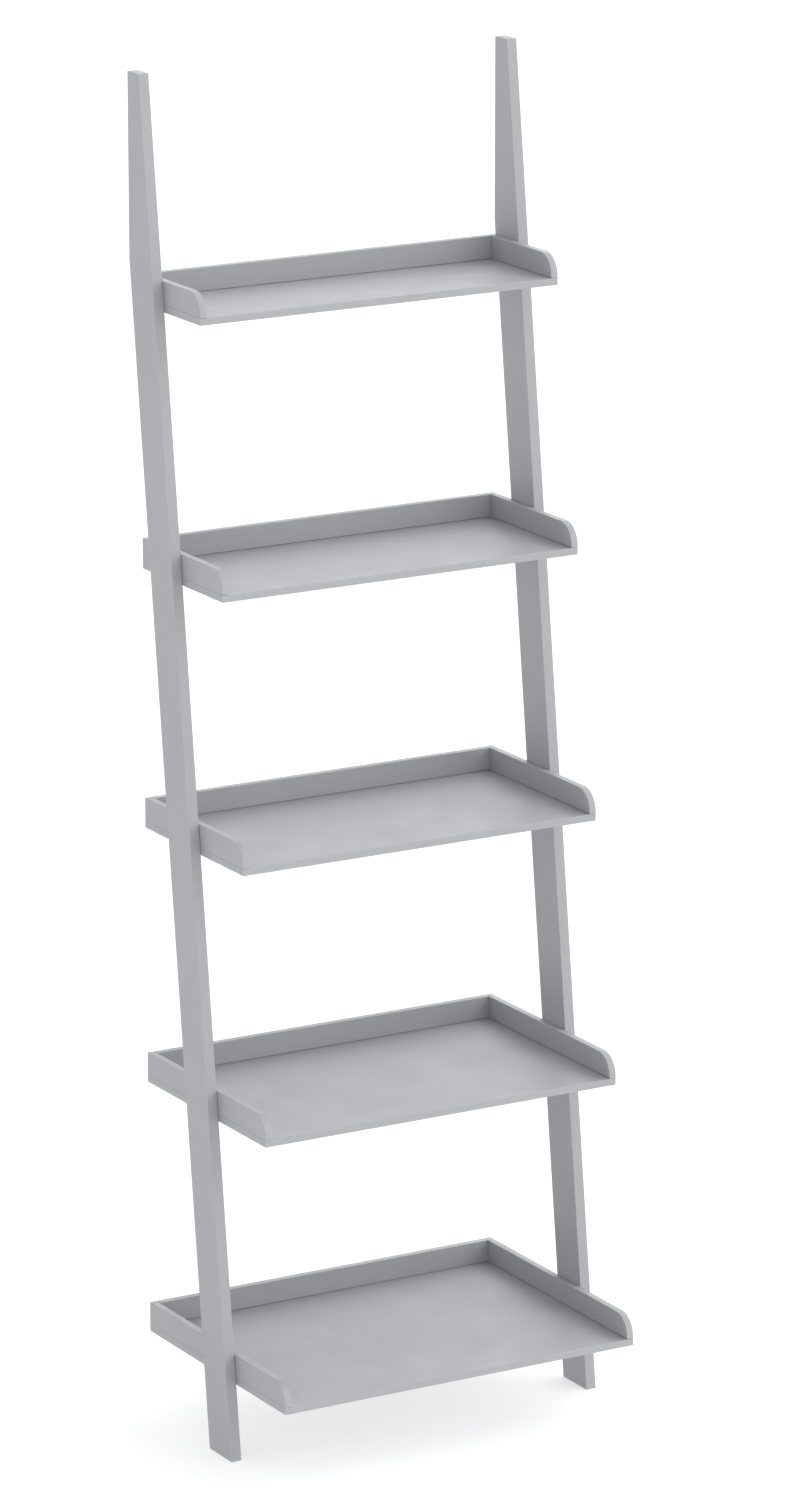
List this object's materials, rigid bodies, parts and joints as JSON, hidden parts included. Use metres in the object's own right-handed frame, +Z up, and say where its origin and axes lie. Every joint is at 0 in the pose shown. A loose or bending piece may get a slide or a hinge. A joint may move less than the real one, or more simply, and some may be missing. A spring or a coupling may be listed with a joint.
{
  "type": "ladder shelf",
  "caption": "Tall leaning shelf: two slanted side rails carry open trays that get deeper towards the floor; the rails' tops and the trays' backs stand against a wall.",
  "frame": {"origin": "on the floor, under the middle of the overall box", "axes": "+Z up, +Y to the wall that the shelf leans on, +X to the right of a person facing the shelf"},
  "size_m": [0.6, 0.398, 1.932],
  "materials": {
    "grey_paint": "satin",
    "zinc_steel": "bright zinc plate",
    "beech": "bare beech"
  },
  "bodies": {
    "root": {"rail_left": "grey_paint", "hanger_plate_left": "zinc_steel", "hanger_screw_left_lower": "zinc_steel", "hanger_screw_left_upper": "zinc_steel", "rail_right": "grey_paint", "hanger_plate_right": "zinc_steel", "hanger_screw_right_lower": "zinc_steel", "hanger_screw_right_upper": "zinc_steel", "tray_1_base": "grey_paint", "tray_1_back": "grey_paint", "tray_1_side_left": "grey_paint", "tray_1_cam_bolt_left": "zinc_steel", "tray_1_cam_left": "zinc_steel", "tray_1_dowel_left": "beech", "tray_1_side_right": "grey_paint", "tray_1_cam_bolt_right": "zinc_steel", "tray_1_cam_right": "zinc_steel", "tray_1_dowel_right": "beech", "tray_2_base": "grey_paint", "tray_2_back": "grey_paint", "tray_2_side_left": "grey_paint", "tray_2_cam_bolt_left": "zinc_steel", "tray_2_cam_left": "zinc_steel", "tray_2_dowel_left": "beech", "tray_2_side_right": "grey_paint", "tray_2_cam_bolt_right": "zinc_steel", "tray_2_cam_right": "zinc_steel", "tray_2_dowel_right": "beech", "tray_3_base": "grey_paint", "tray_3_back": "grey_paint", "tray_3_side_left": "grey_paint", "tray_3_cam_bolt_left": "zinc_steel", "tray_3_cam_left": "zinc_steel", "tray_3_dowel_left": "beech", "tray_3_side_right": "grey_paint", "tray_3_cam_bolt_right": "zinc_steel", "tray_3_cam_right": "zinc_steel", "tray_3_dowel_right": "beech", "tray_4_base": "grey_paint", "tray_4_back": "grey_paint", "tray_4_side_left": "grey_paint", "tray_4_cam_bolt_left": "zinc_steel", "tray_4_cam_left": "zinc_steel", "tray_4_dowel_left": "beech", "tray_4_side_right": "grey_paint", "tray_4_cam_bolt_right": "zinc_steel", "tray_4_cam_right": "zinc_steel", "tray_4_dowel_right": "beech", "tray_5_base": "grey_paint", "tray_5_back": "grey_paint", "tray_5_side_left": "grey_paint", "tray_5_cam_bolt_left": "zinc_steel", "tray_5_cam_left": "zinc_steel", "tray_5_dowel_left": "beech", "tray_5_side_right": "grey_paint", "tray_5_cam_bolt_right": "zinc_steel", "tray_5_cam_right": "zinc_steel", "tray_5_dowel_right": "beech"}
  },
  "joints": []
}
